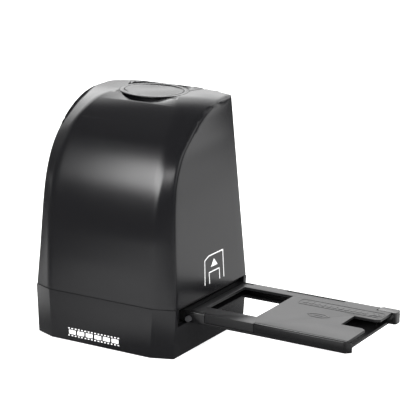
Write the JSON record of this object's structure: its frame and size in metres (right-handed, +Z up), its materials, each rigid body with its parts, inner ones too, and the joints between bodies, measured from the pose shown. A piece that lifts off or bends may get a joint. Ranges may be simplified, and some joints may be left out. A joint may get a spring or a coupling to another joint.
{
  "type": "film scanner",
  "caption": "Desktop scanner for film negatives and slides: a tall curved black tower with a top button and a grey film tray drawn out of its side.",
  "frame": {"origin": "middle of the rubber pad on the underside, at the level of the table", "axes": "+X towards the side where the tray comes out, -Y towards the curved front, +Z up"},
  "size_m": [0.1855, 0.078, 0.1316],
  "materials": {
    "shell_black": "satin",
    "base_black": "satin",
    "rail_black": "satin",
    "cover_grey": "fine matte",
    "cap_black": "satin",
    "trim_black": "gloss",
    "rubber": "matte",
    "steel": "plain",
    "inner_black": "matte",
    "board_green": "satin",
    "chip_black": "matte",
    "white_plastic": "matte",
    "led_yellow": "gloss",
    "lens_glass": "clear",
    "filter_glass": "clear",
    "socket_metal": "plain",
    "capacitor_blue": "gloss"
  },
  "bodies": {
    "housing": {"upper_shell": "shell_black", "base_shell": "base_black", "rubber_pad": "rubber", "case_screws": "steel", "button_trim": "trim_black", "button_spring": "steel", "button_switch": "chip_black", "button_board": "board_green", "button_screws": "steel", "guide_frame": "inner_black", "rail_spring_inner": "steel", "rail_spring_outer": "steel", "light_box": "white_plastic", "light_board": "board_green", "light_leds": "led_yellow", "diffuser": "white_plastic", "lens_hood": "inner_black", "hood_screws": "steel", "lens_barrel": "inner_black", "front_lens": "lens_glass", "rear_lens": "lens_glass", "lens_mount": "inner_black", "infrared_filter": "filter_glass", "image_sensor": "chip_black", "sensor_board": "board_green", "sensor_screws": "steel", "main_board": "board_green", "main_chip": "chip_black", "memory_chip": "chip_black", "board_capacitors": "capacitor_blue", "board_screws": "steel", "usb_socket": "socket_metal", "usb_tongue": "chip_black"},
    "button": {"button_cap": "cap_black", "switch_plunger": "white_plastic"},
    "tray": {"tray_frame": "rail_black", "tray_cover": "cover_grey", "hinge_pin": "steel", "stop_pin": "rail_black"}
  },
  "joints": [
    {"name": "tray_slide", "type": "slide", "parent": "housing", "child": "tray", "axis": [-1, 0, 0], "range_m": [0, 0.066]},
    {"name": "button_press", "type": "slide", "parent": "housing", "child": "button", "axis": [0, 0, -1], "range_m": [0, 0.0012], "stiffness_N_per_m": 1000, "springref_m": -0.0005, "deforming": ["button_spring"]}
  ]
}
